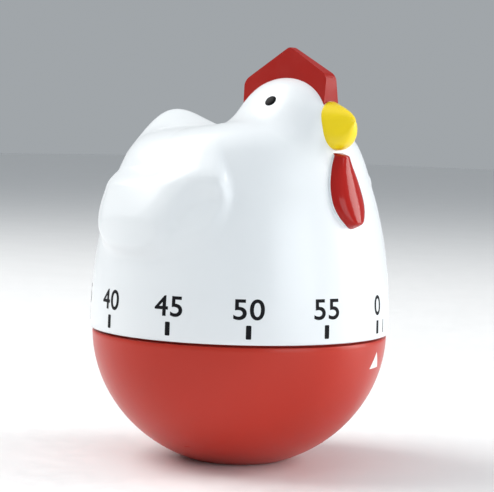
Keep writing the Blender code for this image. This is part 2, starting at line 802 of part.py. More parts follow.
LOW, HIGH = BOTTOM_Z - GAP, TOP_Z + PLATE_T + GAP
wheel("main_wheel", MAIN_M, A_MAIN, 15.4, 16.4, 1.8, 0.0, M_BRASS)
pinion_arbor("second_arbor", MAIN_M, A_SECOND, 15.0, 16.8,
             mesh_phase(A_MAIN, A_SECOND, 0.0), LOW, HIGH)
wheel("second_wheel", SECOND_M, A_SECOND, 18.0, 18.8, PIVOT_R + GAP, 0.0, M_BRASS)
pinion_arbor("third_arbor", SECOND_M, A_THIRD, 17.6, 19.2,
             mesh_phase(A_SECOND, A_THIRD, 0.0), LOW, HIGH, 0.5)
wheel("third_wheel", THIRD_M, A_THIRD, 12.6, 13.4, PIVOT_R + GAP, 0.0, M_BRASS)
pinion_arbor("escape_arbor", THIRD_M, A_ESCAPE, 12.3, 13.7,
             mesh_phase(A_THIRD, A_ESCAPE, 0.0), LOW, HIGH, 0.45)

star = []
for i in range(4):
    star.append(polar(2.6, 90 * i + 45))
    star.append(polar(1.5, 90 * i + 75))
    star.append(polar(1.5, 90 * i + 105))
finish(flat("strike_star", star, [circle(PIVOT_R + GAP, 12)], 13.7, 14.3, A_SECOND),
       M_BRASS, False)

escape = []
ESCAPE_T = 12
for i in range(ESCAPE_T):
    pitch = 360.0 / ESCAPE_T
    escape.append(polar(2.45, pitch * i))
    escape.append(polar(3.3, pitch * (i + 0.16)))
    escape.append(polar(2.45, pitch * (i + 0.42)))
finish(flat("escape_wheel", escape, [circle(PIVOT_R + GAP, 12)], 14.2, 14.8, A_ESCAPE),
       M_BRASS, False)

# ---------------------------------------------------------------- main arbor
ARBOR = [(0, 23.4), (0.95, 23.4), (0.95, 27.0), (1.5, 27.0), (1.5, 15.1), (3.2, 15.1),
         (3.2, 14.8), (1.7, 14.8), (1.7, 11.3), (0.8, 11.3), (0.8, 9.7), (0, 9.7)]
finish(turned("main_arbor", ARBOR, steps=20), M_STEEL)
finish(turned("clutch_washer", [(1.8, 17.1), (4.2, 16.95), (4.2, 16.7), (1.8, 16.85)],
              steps=20, closed=True), M_STEEL)
finish(turned("clutch_collar", [(1.8, 19.2), (2.6, 19.2), (3.0, 18.9), (3.0, 17.4),
                                (1.8, 17.4)], steps=20, closed=True), M_BRASS)

# ---------------------------------------------------------------- zero cam and lever
NOSE_AZ = -125.0
cam = []
for i in range(49):
    cam.append(polar(CAM_R, NOSE_AZ + 18 + (324) * i / 48))
cam.append(polar(4.9, NOSE_AZ - 14))
cam.append(polar(4.9, NOSE_AZ + 14))
finish(flat("zero_cam", cam, [circle(1.8, 14)], 21.6, 22.6), M_BRASS, False)

nose = (LEVER_NOSE[0] - A_LEVER[0], LEVER_NOSE[1] - A_LEVER[1])
lever = flat("release_lever", bar_outline((0, 0), nose, 0.6), [], 21.6, 22.4, A_LEVER)
to_hammer = math.degrees(math.atan2(A_HAMMER[1] - A_LEVER[1], A_HAMMER[0] - A_LEVER[0]))
tail = step(A_LEVER, 10.1, to_hammer)
join(lever, flat("lever_tail", bar_outline(A_LEVER, tail, 0.55), [], 21.7, 22.3,
                 cutter=True))
join(lever, rod("lever_hub", 1.7, 21.55, 22.45, A_LEVER, 16, True))
cut(lever, rod("lever_bore", 0.9, 21.0, 23.0, A_LEVER, 12, True))
finish(lever, M_STEEL, False)
finish(turned("lever_stud", [(0, 23.2), (1.3, 23.2), (1.3, 22.75), (0.6, 22.75),
                             (0.6, 20.0), (0, 20.0)], A_LEVER, 12), M_STEEL)
finish(turned("stop_stud", [(0, 24.6), (PIN_R, 24.6), (PIN_R, 22.2), (1.2, 22.2),
                            (1.2, 21.3), (0.6, 21.3), (0.6, 20.0), (0, 20.0)],
              polar(STOP_R, STOP_AZ), 12), M_STEEL)

# ---------------------------------------------------------------- carrier
DISC_TOP, DISC_LOW = 29.1, 27.8
carrier = turned("carrier", [(1.0, DISC_TOP), (28.0, DISC_TOP), (28.0, DISC_LOW),
                             (3.6, DISC_LOW), (3.6, 23.4), (1.8, 23.4), (1.8, 27.3),
                             (1.0, 27.3)], steps=36, closed=True)
join(carrier, rod("stop_pin", PIN_R, 23.6, 28.2, polar(STOP_R, STOP_AZ - STOP_HALF), 12, True))
for k in range(6):
    cut(carrier, rod("window_%d" % k, 5.0, 27.0, 30.0, polar(15.0, 30 + 60 * k), 12, True))
finish(carrier, M_CARRIER)
finish(turned("carrier_screw", [(0, 30.6), (1.9, 30.6), (2.3, 30.2), (2.3, 29.4),
                                (0.65, 29.4), (0.65, 24.0), (0, 24.0)], steps=14), M_STEEL)

# ---------------------------------------------------------------- balance
finish(turned("balance_staff", [(0, HIGH), (0.5, HIGH), (0.5, LOW), (0, LOW)],
              A_BALANCE, 12), M_STEEL)
pins = [step(A_ESCAPE, 4.5, BALANCE_AZ + s * 40) for s in (1, -1)]
first = (pins[0][0] - A_BALANCE[0], pins[0][1] - A_BALANCE[1])
anchor = flat("pallet_anchor", bar_outline((0, 0), first, 0.55), [], 12.9, 13.5, A_BALANCE)
join(anchor, flat("anchor_arm", bar_outline(A_BALANCE, pins[1], 0.5), [], 12.95, 13.45,
                  cutter=True))
join(anchor, rod("anchor_hub", 1.5, 12.85, 13.55, A_BALANCE, 16, True))
for k, p in enumerate(pins):
    join(anchor, rod("pallet_pin_%d" % k, 0.3, 13.1, 14.9, p, 8, True))
cut(anchor, rod("anchor_bore", 0.8, 12.0, 14.0, A_BALANCE, 12, True))
finish(anchor, M_BRASS, False)


def half_window(sign):
    """Window of the balance wheel on one side of its crossbar."""
    lim = math.degrees(math.asin(1.5 / 4.4))
    out = []
    for i in range(11):
        out.append(polar(4.4, lim + (180 - 2 * lim) * i / 10 + (180 if sign < 0 else 0)))
    return out


finish(flat("balance_wheel", circle(5.5, 32), [half_window(1), half_window(-1),
                                               circle(0.8, 12)], 17.4, 18.2, A_BALANCE),
       M_BRASS, False)

# ---------------------------------------------------------------- hammer
finish(turned("hammer_arbor", [(0, HIGH), (PIVOT_R, HIGH), (PIVOT_R, 8.0), (0, 8.0)],
              A_HAMMER, 12), M_STEEL)
reach = (HAMMER_HEAD[0] - A_HAMMER[0], HAMMER_HEAD[1] - A_HAMMER[1])
arm = flat("hammer_arm", bar_outline((0, 0), reach, 1.3),
           [circle(PIVOT_R + GAP, 12), circle(0.6, 10, reach)], 8.6, 9.2, A_HAMMER)
finish(arm, M_STEEL, False)
finish(turned("hammer_head", [(0, 9.4), (0.3, 9.4), (0.3, 8.3), (1.2, 8.3), (1.2, 5.0),
                              (0, 5.0)], HAMMER_HEAD, 14), M_STEEL)
finger_end = step((0, 0), 6.1, math.degrees(math.atan2(A_SECOND[1] - A_HAMMER[1],
                                                       A_SECOND[0] - A_HAMMER[0])))
finger = flat("hammer_finger", bar_outline((0, 0), finger_end, 0.6), [], 13.7, 14.3,
              A_HAMMER)
join(finger, rod("finger_hub", 1.6, 13.65, 14.35, A_HAMMER, 16, True))
cut(finger, rod("finger_bore", PIVOT_R + GAP, 13.0, 15.0, A_HAMMER, 12, True))
finish(finger, M_STEEL, False)

# ---------------------------------------------------------------- moving groups


def carried(name, at, members):
    """An empty on a joint's axis that carries the pieces that turn about it."""
    hub = bpy.data.objects.new(name, None)
    hub.location = (at[0] * MM, at[1] * MM, 0.0)
    hub.empty_display_size = 0.004
    PARTS.objects.link(hub)
    bpy.context.view_layer.update()
    for member in members:
        piece = bpy.data.objects[member]
        piece.parent = hub
        piece.matrix_parent_inverse = hub.matrix_world.inverted()


carried("axis_hen", A_MAIN,
        ("hen_shell", "comb", "beak", "wattle", "eye_right", "eye_left", "carrier",
         "carrier_screw", "main_arbor", "main_wheel", "clutch_washer", "clutch_collar",
         "zero_cam"))
carried("axis_second", A_SECOND, ("second_arbor", "second_wheel", "strike_star"))
carried("axis_third", A_THIRD, ("third_arbor", "third_wheel"))
carried("axis_escape", A_ESCAPE, ("escape_arbor", "escape_wheel"))
carried("axis_balance", A_BALANCE, ("balance_staff", "pallet_anchor", "balance_wheel"))
carried("axis_hammer", A_HAMMER,
        ("hammer_arbor", "hammer_arm", "hammer_head", "hammer_finger"))
carried("axis_lever", A_LEVER, ("release_lever",))
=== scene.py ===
import bpy
import bmesh
import json
import math
import numpy as np
from mathutils import Matrix, Vector


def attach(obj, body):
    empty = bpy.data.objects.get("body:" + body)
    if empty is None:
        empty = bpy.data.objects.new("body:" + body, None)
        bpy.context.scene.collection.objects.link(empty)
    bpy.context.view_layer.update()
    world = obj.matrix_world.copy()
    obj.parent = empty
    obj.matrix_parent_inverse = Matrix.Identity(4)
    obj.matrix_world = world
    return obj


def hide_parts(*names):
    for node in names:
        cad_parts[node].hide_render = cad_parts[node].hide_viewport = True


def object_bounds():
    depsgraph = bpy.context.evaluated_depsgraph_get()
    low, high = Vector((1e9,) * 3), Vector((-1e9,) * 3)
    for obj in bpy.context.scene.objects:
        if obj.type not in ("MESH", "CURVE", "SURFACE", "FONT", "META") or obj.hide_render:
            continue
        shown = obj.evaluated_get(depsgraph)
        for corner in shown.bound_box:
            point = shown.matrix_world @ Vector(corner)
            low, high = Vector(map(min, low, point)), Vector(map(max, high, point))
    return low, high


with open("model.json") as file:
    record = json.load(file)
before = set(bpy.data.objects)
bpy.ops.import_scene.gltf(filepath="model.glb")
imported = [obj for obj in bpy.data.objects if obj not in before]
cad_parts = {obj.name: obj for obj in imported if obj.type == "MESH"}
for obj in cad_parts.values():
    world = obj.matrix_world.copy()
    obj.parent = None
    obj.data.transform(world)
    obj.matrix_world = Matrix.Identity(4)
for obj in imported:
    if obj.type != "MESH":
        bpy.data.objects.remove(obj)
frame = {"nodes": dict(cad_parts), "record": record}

MM = 0.001
cad_lo, cad_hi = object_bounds()

# ------------------------------------------------------------------ dimensions
# The hen's form is in units of its rim radius R, with z up from the seam. Every
# other length is in mm, with z up from the foot.
R = (cad_hi.x - cad_lo.x) / 2 / MM      # rim of the hen
SEAM = 26.1                             # height of the rim above the foot
EGG_H, EGG_P = 1.78, 2.2                # egg's height, and the power of its outline
CORE = 0.55                             # height of the centre the form is measured from
SHELL = 1.9                             # wall of the hen
ZERO_AZ = -75.5                         # degrees from +X to the dial's 0 as stored
PROUD = 0.02                            # how far print stands off the skin
WELD = 0.000002                         # points closer than this, in metres, are one

BOWL_RIM = 25.6                         # height of the bowl's rim
BOWL_A, BOWL_H = 0.985 * R, 0.92 * R    # half axes of the bowl's oval
BOWL_WALL, BOWL_FLOOR = 1.6, 2.0


# ------------------------------------------------------------------ node materials
class Mat:
    """A Principled material with short helpers for its node network."""

    def __init__(self, name, color, rough, metal=0.0, **sockets):
        self.mat = bpy.data.materials.new(name)
        self.mat.use_nodes = True
        self.nt = self.mat.node_tree
        self.bsdf = self.nt.nodes["Principled BSDF"]
        self.bsdf.inputs["Base Color"].default_value = (*color, 1.0)
        self.bsdf.inputs["Roughness"].default_value = rough
        self.bsdf.inputs["Metallic"].default_value = metal
        for key, value in sockets.items():
            self.bsdf.inputs[key.replace("_", " ")].default_value = value
        self.coord = self.nt.nodes.new("ShaderNodeTexCoord")

    def node(self, kind, **values):
        n = self.nt.nodes.new(kind)
        for key, value in values.items():
            if hasattr(n, key):
                setattr(n, key, value)
            else:
                n.inputs[key.replace("_", " ")].default_value = value
        return n

    def link(self, a, out, b, inp):
        self.nt.links.new(a.outputs[out], b.inputs[inp])

    def mapped(self, scale):
        m = self.node("ShaderNodeMapping")
        m.inputs["Scale"].default_value = scale
        self.link(self.coord, "Object", m, "Vector")
        return m

    def noise(self, scale, detail=3.0, stretch=(1, 1, 1)):
        m = self.mapped(stretch)
        n = self.node("ShaderNodeTexNoise", Scale=scale, Detail=detail, Roughness=0.5)
        self.link(m, "Vector", n, "Vector")
        return n

    def ramp(self, source, out, lo, hi, a, b):
        r = self.node("ShaderNodeMapRange")
        r.inputs["From Min"].default_value = lo
        r.inputs["From Max"].default_value = hi
        r.inputs["To Min"].default_value = a
        r.inputs["To Max"].default_value = b
        self.link(source, out, r, "Value")
        return r

    def vary_color(self, source, out, c1, c2):
        r = self.node("ShaderNodeValToRGB")
        r.color_ramp.elements[0].position = 0.35
        r.color_ramp.elements[1].position = 0.65
        r.color_ramp.elements[0].color = (*c1, 1)
        r.color_ramp.elements[1].color = (*c2, 1)
        self.link(source, out, r, "Fac")
        self.link(r, "Color", self.bsdf, "Base Color")

    def vary_rough(self, source, out, a, b):
        self.link(self.ramp(source, out, 0.3, 0.7, a, b), "Result", self.bsdf, "Roughness")

    def bump(self, source, out, strength, dist, below=None):
        b = self.node("ShaderNodeBump")
        b.inputs["Strength"].default_value = strength
        b.inputs["Distance"].default_value = dist
        self.link(source, out, b, "Height")
        if below:
            self.link(below, "Normal", b, "Normal")
        self.link(b, "Normal", self.bsdf, "Normal")
        return b


def plastic(name, color, rough, spread, peel, uneven=0.20, grain=260.0, **kw):
    """Moulded or painted plastic: faint flow marks in its colour (spread), a
    slightly uneven gloss (uneven, at a grain per metre) and the fine orange
    peel of a polished tool (peel)."""
    m = Mat(name, color, rough, **kw)
    flow = m.noise(38.0, 4.0, (1, 1, 0.35))
    c1 = tuple(c * (1 - spread) for c in color)
    c2 = tuple(min(c * (1 + spread), 1.0) for c in color)
    m.vary_color(flow, "Fac", c1, c2)
    wear = m.noise(grain, 3.0)
    m.vary_rough(wear, "Fac", rough * (1 - uneven), rough * (1 + uneven))
    skin = m.noise(900.0, 2.0)
    wave = m.noise(120.0, 2.0)
    first = m.bump(wave, "Fac", peel, 0.0006)
    m.bump(skin, "Fac", peel, 0.0001, first)
    return m.mat


def metal(name, color, rough, grain, dull=0.25):
    """Stamped sheet or turned bar: stains, and fine scratches along one way."""
    m = Mat(name, color, rough, 1.0)
    stain = m.noise(240.0, 6.0)
    m.vary_color(stain, "Fac", tuple(c * (1 - dull) for c in color), color)
    scratch = m.noise(1500.0, 3.0, grain)
    m.vary_rough(scratch, "Fac", rough * 0.7, rough * 1.4)
    m.bump(scratch, "Fac", 0.12, 0.00005)
    return m.mat


WHITE = plastic("white_abs", (0.79, 0.82, 0.84), 0.26, 0.008, 0.002, 0.03, 60.0)
RED = plastic("red_abs", (0.48, 0.033, 0.019), 0.30, 0.04, 0.01, 0.06, 60.0,
              Specular_IOR_Level=0.25)
COMB = plastic("comb_paint", (0.34, 0.011, 0.007), 0.38, 0.06, 0.05, Specular_IOR_Level=0.15)
WATTLE = plastic("wattle_paint", (0.38, 0.014, 0.011), 0.12, 0.03, 0.02, Specular_IOR_Level=0.2)
BEAK = plastic("beak_paint", (0.88, 0.66, 0.008), 0.30, 0.04, 0.03, Specular_IOR_Level=0.4)
EYE = plastic("eye_paint", (0.004, 0.004, 0.005), 0.30, 0.10, 0.02, Specular_IOR_Level=0.06)
INK = plastic("dial_ink", (0.008, 0.008, 0.010), 0.50, 0.15, 0.02, Specular_IOR_Level=0.1)
MARK = plastic("pointer_ink", (0.82, 0.80, 0.78), 0.40, 0.02, 0.06)
CARRIER = plastic("carrier_abs", (0.74, 0.75, 0.74), 0.45, 0.02, 0.10)
BRASS = metal("stamped_brass", (0.78, 0.56, 0.24), 0.30, (1, 6, 1))
STEEL = metal("bright_steel", (0.58, 0.59, 0.61), 0.30, (5, 1, 1))
BLUED = metal("spring_steel", (0.20, 0.24, 0.32), 0.28, (1, 1, 8))
BELL = metal("bell_steel", (0.66, 0.67, 0.68), 0.18, (1, 1, 1), 0.12)
FLOOR = plastic("floor_sheet", (0.90, 0.90, 0.90), 0.42, 0.01, 0.02)


# ------------------------------------------------------------------ helpers
def to_mesh(bm, name):
    mesh = bpy.data.meshes.new(name)
    bm.to_mesh(mesh)
    bm.free()
    return mesh


def mesh_object(name, bm, mats, body=None, sharp=40):
    """An object from a bmesh, smooth but for edges sharper than sharp degrees."""
    mesh = to_mesh(bm, name)
    mesh.shade_smooth()
    mesh.set_sharp_from_angle(angle=math.radians(sharp))
    ob = bpy.data.objects.new(name, mesh)
    bpy.context.scene.collection.objects.link(ob)
    for m in mats:
        mesh.materials.append(m)
    if body:
        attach(ob, body)
    return ob


def from_rings(rings, close_start=None, close_end=None):
    """A bmesh lofted through closed rings of points in mm, its ends drawn to
    a point each if one is given."""
    bm = bmesh.new()
    made = [[bm.verts.new(Vector(p) * MM) for p in ring] for ring in rings]
    n = len(made[0])
    for a, b in zip(made, made[1:]):
        for i in range(n):
            bm.faces.new((a[i], a[(i + 1) % n], b[(i + 1) % n], b[i]))
    for ring, apex in ((made[0], close_start), (made[-1], close_end)):
        if apex is not None:
            c = bm.verts.new(Vector(apex) * MM)
            for i in range(n):
                bm.faces.new((ring[i], ring[(i + 1) % n], c))
    bmesh.ops.recalc_face_normals(bm, faces=bm.faces)
    return bm


def join_in(bm, other, name):
    """Adds the faces of another bmesh, which is used up."""
    part = to_mesh(other, name)
    bm.from_mesh(part)


def lathe_rings(profile, steps):
    """Rings of a turned form from its (radius, height) profile."""
    a = np.linspace(0, 2 * math.pi, steps, endpoint=False)
    return [np.stack([r * np.cos(a), r * np.sin(a), np.full(steps, z)], 1)
            for r, z in profile]


def smooth(t):
    """0 below 0, 1 above 1 and an even S between."""
    t = np.clip(t, 0.0, 1.0)
    return t * t * (3 - 2 * t)


# ------------------------------------------------------------------ the hen's form
def soft_min(a, b, k):
    """The smaller of two values, rounded where they are within k."""
    h = np.clip(0.5 + 0.5 * (b - a) / k, 0.0, 1.0)
    return b * (1 - h) + a * h - k * h * (1 - h)


def soft_max(a, b, k):
    return -soft_min(-a, -b, k)


def ball(d, l, z, centre, radii, tilt):
    """Distance from an ellipsoid on the middle plane, its nose raised by tilt."""
    a = math.radians(tilt)
    u = (d - centre[0]) * math.cos(a) + (z - centre[1]) * math.sin(a)
    w = -(d - centre[0]) * math.sin(a) + (z - centre[1]) * math.cos(a)
    q = np.sqrt((u / radii[0]) ** 2 + (l / radii[1]) ** 2 + (w / radii[2]) ** 2)
    return (q - 1) * min(radii)


def hen_field(d, l, z):
    """Negative inside. d forward, l to the hen's right, z above the seam."""
    egg = np.sqrt(d * d + l * l + (np.clip(z, 0, None) / EGG_H) ** EGG_P) - 1
    back = (z - 1.345 - 0.115 * np.clip(d + 0.05, 0, None)) * 0.85
    f = soft_max(egg, back, 0.190)
    f = soft_min(f, ball(d, l, z, (-0.518, 1.030), (0.193, 0.309, 0.440), 16.3), 0.154)
    f = soft_min(f, ball(d, l, z, (0.352, 1.077), (0.375, 0.504, 0.328), 10.8), 0.148)
    f = soft_min(f, ball(d, l, z, (0.393, 1.413), (0.365, 0.242, 0.267), 0.0), 0.176)
    return f


WING_MID = 93.0                         # azimuth of the wing's middle, from the front
WING_FORE, WING_REAR = 0.655, 0.69      # reach of its outline to the front and rear
WING_TOP, WING_DEPTH = 0.97, 0.515      # height of its middle line, reach below it
WING_PAD, WING_CREST = 0.030, 0.044     # relief of the pad and of the crest on it


def wing_height(az, z):
    """Relief of the folded wing in R: a pad with a rounded border, and on it
    a crest whose ridge runs down and back, with a flatter face below it."""
    u = np.radians(np.abs(az) - WING_MID) * 0.93 + 0.02
    side = np.where(u < 0, WING_FORE, WING_REAR)
    across, down = np.abs(u) + 1e-6, np.maximum(WING_TOP - z, 0.0)
    g = ((across / side) ** 2.5 + (down / WING_DEPTH) ** 2.5) ** (1 / 2.5)
    inward = np.hypot(across, down) * (1 / g - 1)
    fore = smooth((u + 0.63) / 0.15) * (1 - smooth((u + 0.40) / 0.45))
    roof = smooth((1.08 + 0.20 * fore - z) / (0.15 + 0.17 * fore))
    depth = np.minimum((down / WING_DEPTH) ** 2, 1.0)
    border = 0.10 + 0.20 * depth
    low = 1 - smooth((z - 0.88) / 0.12)
    pad = WING_PAD * smooth(inward / border) * roof
    pad -= 0.007 * np.exp(-((inward - 0.16) / 0.05) ** 2) * low * (1 - depth)
    ridge = 0.70 + 0.305 * (1 - smooth((u + 0.42) / 0.44))
    fall = (ridge - z) * (1 - 0.28 * np.exp(-((u + 0.20) / 0.13) ** 2))
    width = 0.14 + 0.18 * smooth((u + 0.50) / 0.50)
    crest = (1 - smooth(fall / width)) * np.exp(-np.maximum(-fall - 0.05, 0) / 0.6)
    tall = WING_CREST * (1 - 0.35 * smooth((u - 0.15) / 0.45))
    h = pad + tall * crest * smooth((inward - 0.02) / 0.11) * roof
    girth = np.sqrt(np.clip(1 - (np.clip(z, 0, EGG_H) / EGG_H) ** EGG_P, 0, None))
    return np.minimum(h, np.maximum(0.999 - girth, 0.0))


def hen_radius(az, el, wing):
    """Distance of the skin from the core along azimuth az, elevation el."""
    dx, dy, dz = np.cos(az) * np.cos(el), np.sin(az) * np.cos(el), np.sin(el)
    t = np.linspace(0.3, 1.9, 161)
    last = np.zeros(az.shape, int)
    for k, s in enumerate(t):
        last = np.where(hen_field(dx * s, dy * s, CORE + dz * s) < 0, k, last)
    lo, hi = t[last], t[np.minimum(last + 1, len(t) - 1)]
    for _ in range(24):
        mid = (lo + hi) / 2
        neg = hen_field(dx * mid, dy * mid, CORE + dz * mid) < 0
        lo, hi = np.where(neg, mid, lo), np.where(neg, hi, mid)
    if wing:
        lo = lo + wing_height(np.degrees(np.arctan2(dy, dx)), CORE + dz * lo)
    return lo


def to_model(d, l, z):
    """The hen's own coordinates, in R, as points in mm."""
    return np.stack([-l * R, -d * R, SEAM + z * R + 0 * d], -1)


def root(inside, lo, hi, like=0.0):
    """Where inside() turns positive between lo and hi, shaped as like."""
    lo = np.zeros_like(like, dtype=float) + lo
    hi = np.zeros_like(like, dtype=float) + hi
    for _ in range(30):
        mid = (lo + hi) / 2
        neg = inside(mid) < 0
        lo, hi = np.where(neg, mid, lo), np.where(neg, hi, mid)
    return lo


def skin_top(d, l):
    """Height of the skin over a place on the hen."""
    return root(lambda z: hen_field(d, l, z), 1.2, 1.95, d)


def skin_front(l, z):
    """How far forward the skin stands."""
    return root(lambda d: hen_field(d, l, z), 0.3, 1.2, l + z)


def egg_radius(z):
    """Radius of the plain egg at height z, both in R."""
    return math.sqrt(max(1 - (max(z, 0.0) / EGG_H) ** EGG_P, 0.0))


# ------------------------------------------------------------------ hen shell
AROUND, LEVELS, INNER = 256, 150, 26    # points around, rings outside and inside
RIM_EDGE = 0.30                         # rounding of the rim
MOUTH_R, SEAT_R = 28.4, 26.2            # opening over the bowl's lip, carrier's seat
MOUTH_TOP, SEAT_TOP = 29.4, 30.8
INSIDE_LOW = -19.0                      # elevation, from the core, of the first inner ring


def hen_skin():
    """The shell: the skin with its wings, and the hollow inside it."""
    az = np.linspace(0, 2 * math.pi, AROUND, endpoint=False)

    def ray(el, wing, skin):
        t = hen_radius(az, np.full(AROUND, el), wing) - skin / R
        return to_model(np.cos(az) * math.cos(el) * t, np.sin(az) * math.cos(el) * t,
                        CORE + math.sin(el) * t)

    def flat(r, z):
        return np.stack([-r * np.sin(az), -r * np.cos(az), np.full(AROUND, z)], 1)

    rings = [flat(R - RIM_EDGE, SEAM), flat(R - 0.3 * RIM_EDGE, SEAM + 0.3 * RIM_EDGE),
             flat(R, SEAM + RIM_EDGE)]
    first = math.atan2((RIM_EDGE + 0.05) / R - CORE, 1.0)
    for i in range(1, LEVELS):
        el = first + (math.pi / 2 - first) * i / LEVELS
        rings.append(ray(el, True, 0.0))
    tip = float(hen_radius(np.array([0.0]), np.array([math.pi / 2]), False)[0])
    outer = from_rings(rings, None, to_model(np.float64(0), np.float64(0), CORE + tip))
    inner = [flat(R - RIM_EDGE, SEAM), flat(MOUTH_R, SEAM), flat(MOUTH_R - 0.1, MOUTH_TOP),
             flat(SEAT_R, MOUTH_TOP), flat(SEAT_R, SEAT_TOP)]
    start = math.radians(INSIDE_LOW)
    for i in range(INNER):
        inner.append(ray(start + (math.pi / 2 - start) * i / INNER, False, SHELL))
    top = to_model(np.float64(0), np.float64(0), CORE + tip - SHELL / R)
    join_in(outer, from_rings(inner, None, top), "inner")
    bmesh.ops.remove_doubles(outer, verts=outer.verts, dist=WELD)
    bmesh.ops.recalc_face_normals(outer, faces=outer.faces)
    ob = mesh_object("hen_skin", outer, [WHITE], "hen", 50)
    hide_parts("hen_shell")


hen_skin()


# ------------------------------------------------------------------ comb
COMB_BACK, COMB_FRONT = 0.048, 0.728    # ends of the foot
ROOF_BACK, ROOF_FRONT = 0.036, 0.724    # ends of the roof line
PEAK_D, PEAK_Z = 0.390, 1.880
REAR_DROP, FRONT_DROP = 0.220, 0.188    # fall of the roof from its peak to each end
REAR_RUN, FRONT_RUN = 0.354, 0.335      # length of each fall
END_ROUND = 0.034
COMB_HALF, COMB_THIN = 0.075, 0.051     # half thickness at the foot, lost up to the peak


def comb_top(d):
    """The roof line, rounded over its peak and at its two ends."""
    rear = PEAK_Z - REAR_DROP * (PEAK_D - d) / REAR_RUN
    front = PEAK_Z - FRONT_DROP * (d - PEAK_D) / FRONT_RUN
    z = float(soft_min(rear, front, 0.022))
    for end in (d - ROOF_BACK, ROOF_FRONT - d):
        if end < END_ROUND:
            z -= END_ROUND - math.sqrt(max(END_ROUND ** 2 - (END_ROUND - end) ** 2, 0.0))
    return z


def comb_half(z):
    """Half thickness of the comb at height z."""
    return COMB_HALF - COMB_THIN * min(max((z - 1.50) / 0.38, 0.0), 1.0)


def comb():
    """The tapered roof-shaped plate, its corners softened by a bevel."""
    stations, steps = 61, 9
    sink = 0.012                        # how far the foot runs into the head
    bm = bmesh.new()
    sides = []
    for side in (1, -1):
        cols = []
        for i in range(stations):
            s = 0.5 - 0.5 * math.cos(math.pi * i / (stations - 1))
            base = COMB_BACK + (COMB_FRONT - COMB_BACK) * s
            roof = ROOF_BACK + (ROOF_FRONT - ROOF_BACK) * s
            foot = float(skin_top(base, comb_half(1.5))) - sink
            col = []
            for j in range(steps):
                h = j / (steps - 1)
                z = foot + (comb_top(roof) - foot) * h
                d = base + (roof - base) * h
                p = to_model(np.float64(d), np.float64(side * comb_half(z)), z)
                col.append(bm.verts.new(Vector(p) * MM))
            cols.append(col)
        for a, b in zip(cols, cols[1:]):
            for j in range(steps - 1):
                bm.faces.new((a[j], b[j], b[j + 1], a[j + 1]))
        sides.append(cols)
    p, q = sides
    edge_loop = ([(0, j) for j in range(steps)]
                 + [(i, steps - 1) for i in range(1, stations)]
                 + [(stations - 1, j) for j in range(steps - 2, -1, -1)]
                 + [(i, 0) for i in range(stations - 2, 0, -1)])
    for k, (i, j) in enumerate(edge_loop):
        i2, j2 = edge_loop[(k + 1) % len(edge_loop)]
        bm.faces.new((p[i][j], p[i2][j2], q[i2][j2], q[i][j]))
    bmesh.ops.recalc_face_normals(bm, faces=bm.faces)
    ob = mesh_object("comb_plate", bm, [COMB], "hen", 30)
    bevel = ob.modifiers.new("edges", "BEVEL")
    bevel.width = 0.55 * MM
    bevel.segments = 4
    bevel.limit_method = "ANGLE"
    bevel.angle_limit = math.radians(40)
    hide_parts("comb")


comb()


# ------------------------------------------------------------------ beak
BEAK_TIP, BEAK_Z = 0.930, 1.405         # how far forward and how high its tip stands
BEAK_BACK = 0.738                       # it starts just in front of the comb
BEAK_HALF = 0.120                       # half width of its root
ROOT_Z, ROOT_TALL = 1.3705, 0.1555      # middle and half height of its root
SQUARE = 0.72                           # below 1, the root's outline is squarish


def signed_power(x, power):
    return np.sign(x) * np.abs(x) ** power


def beak_outline(a):
    """Half width and height of the beak's root on the face, at angle a."""
    c, s = np.cos(a), np.sin(a)
    narrow = 1 - 0.28 * np.clip(s, 0, None) ** 2 - 0.08 * np.clip(-s, 0, None) ** 2
    return (BEAK_HALF * narrow * signed_power(c, SQUARE),
            ROOT_Z + ROOT_TALL * signed_power(s, SQUARE))


def beak_front(l, z, s, a):
    """How far forward the beak stands: flanks that run to the tip, cut off
    by two roof planes that slope down to it."""
    skin = np.maximum(skin_front(l, z), BEAK_BACK)
    full = smooth(-np.sin(a))
    swell = np.clip(1 - s ** (1.35 + 1.25 * full), 0, None) ** (0.90 - 0.30 * full)
    roof = 0.758 + (1.533 - z - 0.35 * np.sqrt(l * l + 0.0004)) / 0.50
    return np.maximum(soft_min(skin + (BEAK_TIP - skin) * swell, roof, 0.014), skin - 0.006)


def beak():
    """The beak, ring by ring from its root to its tip."""
    a = np.linspace(0, 2 * math.pi, 96, endpoint=False)
    wide, high = beak_outline(a)
    rings = []
    for s in [1.0, 0.985, 0.96] + [0.92 - 0.04 * k for k in range(22)] + [0.04, 0.02]:
        l, z = wide * s, BEAK_Z + (high - BEAK_Z) * s
        rings.append(to_model(beak_front(l, z, s, a), l, z))
    tip = beak_front(np.zeros(1), np.full(1, BEAK_Z), 0.0, np.zeros(1))
    rim = to_model(np.maximum(skin_front(wide, high), BEAK_BACK) - 0.012, wide, high)
    bm = from_rings([rim] + rings, to_model(np.float64(0.66), np.float64(0), BEAK_Z),
                    to_model(tip, np.zeros(1), BEAK_Z)[0])
    ob = mesh_object("beak_cone", bm, [BEAK], "hen", 60)
    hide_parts("beak")


beak()


# ------------------------------------------------------------------ wattle
WATTLE_TOP, WATTLE_BOTTOM = 1.200, 0.716
WATTLE_HALF = 0.158                     # half width at its widest
WATTLE_RISE = 0.076                     # how far it stands off the breast, plus its sink
WIDEST = 0.62                           # where it is widest, of its length from the top


def wattle_half(v):
    """Half width of the wattle at v of its length from the top."""
    if v < WIDEST:
        return WATTLE_HALF * (0.32 + 0.68 * math.sin(math.pi / 2 * v / WIDEST))
    return WATTLE_HALF * max(1.0 - ((v - WIDEST) / (1 - WIDEST)) ** 2, 0.0) ** 0.62


